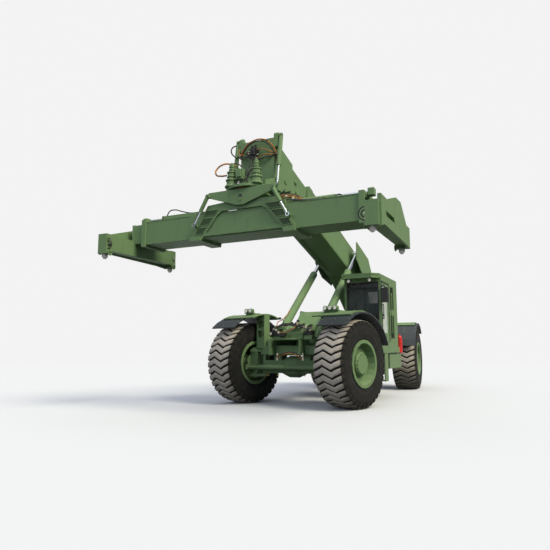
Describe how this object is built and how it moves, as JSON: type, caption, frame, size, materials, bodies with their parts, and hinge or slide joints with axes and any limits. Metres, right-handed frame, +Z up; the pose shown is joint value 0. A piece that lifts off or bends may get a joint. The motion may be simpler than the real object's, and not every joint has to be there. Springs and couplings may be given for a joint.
{
  "type": "container reach stacker",
  "caption": "Rough-terrain container reach stacker with a gooseneck telescopic boom, a slewing head and a telescopic spreader with twistlocks.",
  "frame": {"origin": "on the ground under the middle of the footprint", "axes": "+Z up, -Y the way the machine drives, +X its left side, where the cab is"},
  "size_m": [6.18, 11.2344, 6.0677],
  "materials": {
    "green_paint": "satin olive green paint, lightly worn",
    "dark_green": "dark painted casting",
    "tyre_rubber": "dusty black rubber",
    "slate_plastic": "dark slate grey moulded plastic",
    "chrome_rod": "polished hard chrome",
    "copper_gear": "greased copper coloured teeth",
    "clear_glass": "clear safety glass",
    "black_trim": "matt black plastic",
    "red_paint": "glossy red paint"
  },
  "bodies": {
    "chassis": {"main_frame": "green_paint", "valve_tower": "green_paint", "cab_platform": "green_paint", "engine_hood": "green_paint", "engine_block": "dark_green", "radiator_housing": "green_paint", "counterweight": "green_paint", "handrails": "green_paint", "cab_shell": "green_paint", "cab_glazing": "clear_glass", "roof_guard": "green_paint", "operator_seat": "black_trim", "dash_and_wheel": "black_trim", "extinguisher": "red_paint", "cab_mirror": "black_trim", "axle_beam_front": "green_paint", "axle_beam_rear": "green_paint"},
    "door": {"cab_door": "green_paint", "door_glass": "clear_glass"},
    "steer_rod_front": {"steer_rod_front": "chrome_rod"},
    "steer_rod_rear": {"steer_rod_rear": "chrome_rod"},
    "knuckle_front_left": {"knuckle_front_left": "green_paint", "fender_front_left": "slate_plastic"},
    "wheel_front_left": {"tyre_front_left": "tyre_rubber", "rim_front_left": "green_paint"},
    "knuckle_front_right": {"knuckle_front_right": "green_paint", "fender_front_right": "slate_plastic"},
    "wheel_front_right": {"tyre_front_right": "tyre_rubber", "rim_front_right": "green_paint"},
    "knuckle_rear_left": {"knuckle_rear_left": "green_paint", "fender_rear_left": "slate_plastic"},
    "wheel_rear_left": {"tyre_rear_left": "tyre_rubber", "rim_rear_left": "green_paint"},
    "knuckle_rear_right": {"knuckle_rear_right": "green_paint", "fender_rear_right": "slate_plastic"},
    "wheel_rear_right": {"tyre_rear_right": "tyre_rubber", "rim_rear_right": "green_paint"},
    "boom_outer": {"boom_outer": "green_paint"},
    "boom_inner": {"boom_inner": "green_paint"},
    "head": {"head_frame": "green_paint"},
    "rotator": {"slew_gear": "copper_gear", "rotator_yoke": "green_paint"},
    "spreader": {"spreader_frame": "green_paint"},
    "lift_barrel_left": {"lift_barrel_left": "green_paint"},
    "lift_rod_left": {"lift_rod_left": "chrome_rod"},
    "tilt_barrel_left": {"tilt_barrel_left": "green_paint"},
    "tilt_rod_left": {"tilt_rod_left": "chrome_rod"},
    "slope_barrel_left": {"slope_barrel_left": "green_paint"},
    "slope_rod_left": {"slope_rod_left": "chrome_rod"},
    "slide_left": {"slide_beam_left": "green_paint"},
    "lift_barrel_right": {"lift_barrel_right": "green_paint"},
    "lift_rod_right": {"lift_rod_right": "chrome_rod"},
    "tilt_barrel_right": {"tilt_barrel_right": "green_paint"},
    "tilt_rod_right": {"tilt_rod_right": "chrome_rod"},
    "slope_barrel_right": {"slope_barrel_right": "green_paint"},
    "slope_rod_right": {"slope_rod_right": "chrome_rod"},
    "slide_right": {"slide_beam_right": "green_paint"}
  },
  "joints": [
    {"name": "steer_front_left", "type": "hinge", "parent": "chassis", "child": "knuckle_front_left", "pos_m": [1.067, -2.0828, 1.003], "axis": [0, 0, 1], "range_deg": [-15.8, 44.2]},
    {"name": "steer_front_right", "type": "hinge", "parent": "chassis", "child": "knuckle_front_right", "pos_m": [-1.067, -2.0828, 1.003], "axis": [0, 0, 1], "range_deg": [-16, 44.6]},
    {"name": "steer_rod_front_slide", "type": "slide", "parent": "chassis", "child": "steer_rod_front", "axis": [1, 0, 0], "range_m": [-0.095, 0.255]},
    {"name": "steer_rear_left", "type": "hinge", "parent": "chassis", "child": "knuckle_rear_left", "pos_m": [1.067, 4.1073, 1.003], "axis": [0, 0, 1], "range_deg": [-33.7, 26.3]},
    {"name": "steer_rear_right", "type": "hinge", "parent": "chassis", "child": "knuckle_rear_right", "pos_m": [-1.067, 4.1073, 1.003], "axis": [0, 0, 1], "range_deg": [-34, 26.6]},
    {"name": "steer_rod_rear_slide", "type": "slide", "parent": "chassis", "child": "steer_rod_rear", "axis": [1, 0, 0], "range_m": [-0.155, 0.198]},
    {"name": "spin_front_left", "type": "hinge", "parent": "knuckle_front_left", "child": "wheel_front_left", "pos_m": [1.4305, -2.1747, 1.003], "axis": [0.9694, -0.2453, 0], "continuous": true},
    {"name": "spin_front_right", "type": "hinge", "parent": "knuckle_front_right", "child": "wheel_front_right", "pos_m": [-1.4296, -1.987, 1.003], "axis": [0.9668, -0.2554, 0], "continuous": true},
    {"name": "spin_rear_left", "type": "hinge", "parent": "knuckle_rear_left", "child": "wheel_rear_left", "pos_m": [1.4412, 4.1314, 1.003], "axis": [0.9979, 0.0645, 0], "continuous": true},
    {"name": "spin_rear_right", "type": "hinge", "parent": "knuckle_rear_right", "child": "wheel_rear_right", "pos_m": [-1.4411, 4.0811, 1.003], "axis": [0.9976, 0.0698, 0], "continuous": true},
    {"name": "cab_door", "type": "hinge", "parent": "chassis", "child": "door", "pos_m": [1.78, 0.2372, 1.5], "axis": [0, 0, 1], "range_deg": [0, 80]},
    {"name": "boom_lift", "type": "hinge", "parent": "chassis", "child": "boom_outer", "pos_m": [0, 3.8173, 2.45], "axis": [-1, 0, 0], "range_deg": [-15.4, 36]},
    {"name": "boom_extend", "type": "slide", "parent": "boom_outer", "child": "boom_inner", "axis": [0, 0.9641, -0.2656], "range_m": [-2.6, 0]},
    {"name": "lift_base_left", "type": "hinge", "parent": "chassis", "child": "lift_barrel_left", "pos_m": [0.53, -2.0828, 1.49], "axis": [1, 0, 0], "range_deg": [-0.8, 1.5]},
    {"name": "lift_rod_left_slide", "type": "slide", "parent": "lift_barrel_left", "child": "lift_rod_left", "axis": [0, 0.7924, 0.61], "range_m": [-0.78, 1.81]},
    {"name": "lift_base_right", "type": "hinge", "parent": "chassis", "child": "lift_barrel_right", "pos_m": [-0.53, -2.0828, 1.49], "axis": [1, 0, 0], "range_deg": [-0.8, 1.5]},
    {"name": "lift_rod_right_slide", "type": "slide", "parent": "lift_barrel_right", "child": "lift_rod_right", "axis": [0, 0.7924, 0.61], "range_m": [-0.78, 1.81]},
    {"name": "head_tilt", "type": "hinge", "parent": "boom_inner", "child": "head", "pos_m": [0, -3.6328, 5.05], "axis": [1, 0, 0], "range_deg": [-18, 40]},
    {"name": "tilt_top_left", "type": "hinge", "parent": "boom_inner", "child": "tilt_barrel_left", "pos_m": [0.535, -3.9827, 6], "axis": [1, 0, 0], "range_deg": [-6, 13]},
    {"name": "tilt_rod_left_slide", "type": "slide", "parent": "tilt_barrel_left", "child": "tilt_rod_left", "axis": [0, -0.1671, -0.9859], "range_m": [-0.14, 0.305]},
    {"name": "tilt_top_right", "type": "hinge", "parent": "boom_inner", "child": "tilt_barrel_right", "pos_m": [-0.535, -3.9827, 6], "axis": [1, 0, 0], "range_deg": [-6, 13]},
    {"name": "tilt_rod_right_slide", "type": "slide", "parent": "tilt_barrel_right", "child": "tilt_rod_right", "axis": [0, -0.1671, -0.9859], "range_m": [-0.14, 0.305]},
    {"name": "slew", "type": "hinge", "parent": "head", "child": "rotator", "pos_m": [0, -4.4028, 4.6495], "axis": [0, 0, -1], "range_deg": [-105, 195]},
    {"name": "pile_slope", "type": "hinge", "parent": "rotator", "child": "spreader", "pos_m": [0, -4.4028, 4.4], "axis": [0, 1, 0], "range_deg": [-5, 5]},
    {"name": "slope_top_left", "type": "hinge", "parent": "rotator", "child": "slope_barrel_left", "pos_m": [0.76, -4.8828, 4.53], "axis": [0, 1, 0], "range_deg": [-7.2, 7.2]},
    {"name": "slope_rod_left_slide", "type": "slide", "parent": "slope_barrel_left", "child": "slope_rod_left", "axis": [0.4882, 0, -0.8728], "range_m": [-0.065, 0.065]},
    {"name": "slope_top_right", "type": "hinge", "parent": "rotator", "child": "slope_barrel_right", "pos_m": [-0.76, -4.8828, 4.53], "axis": [0, 1, 0], "range_deg": [-7.2, 7.2]},
    {"name": "slope_rod_right_slide", "type": "slide", "parent": "slope_barrel_right", "child": "slope_rod_right", "axis": [-0.4882, 0, -0.8728], "range_m": [-0.065, 0.065]},
    {"name": "spreader_left", "type": "slide", "parent": "spreader", "child": "slide_left", "axis": [1, 0, 0], "range_m": [0, 3.066]},
    {"name": "spreader_right", "type": "slide", "parent": "spreader", "child": "slide_right", "axis": [-1, 0, 0], "range_m": [0, 3.07]}
  ],
  "couplings": [
    {"joint": "steer_front_right", "follows": "steer_front_left", "ratio": 1},
    {"joint": "steer_rod_front_slide", "follows": "steer_front_left", "m_per_rad": 0.325},
    {"joint": "steer_rear_right", "follows": "steer_rear_left", "ratio": 1},
    {"joint": "steer_rod_rear_slide", "follows": "steer_rear_left", "m_per_rad": -0.33},
    {"joint": "lift_base_left", "follows": "boom_lift", "ratio": 0.035},
    {"joint": "lift_rod_left_slide", "follows": "boom_lift", "m_per_rad": 2.85},
    {"joint": "lift_base_right", "follows": "boom_lift", "ratio": 0.035},
    {"joint": "lift_rod_right_slide", "follows": "boom_lift", "m_per_rad": 2.85},
    {"joint": "tilt_top_left", "follows": "head_tilt", "ratio": 0.3},
    {"joint": "tilt_rod_left_slide", "follows": "head_tilt", "m_per_rad": 0.43},
    {"joint": "tilt_top_right", "follows": "head_tilt", "ratio": 0.3},
    {"joint": "tilt_rod_right_slide", "follows": "head_tilt", "m_per_rad": 0.43},
    {"joint": "slope_top_left", "follows": "pile_slope", "ratio": 1.38},
    {"joint": "slope_rod_left_slide", "follows": "pile_slope", "m_per_rad": 0.727},
    {"joint": "slope_top_right", "follows": "pile_slope", "ratio": 1.38},
    {"joint": "slope_rod_right_slide", "follows": "pile_slope", "m_per_rad": -0.727},
    {"joint": "spreader_right", "follows": "spreader_left", "ratio": 1}
  ]
}
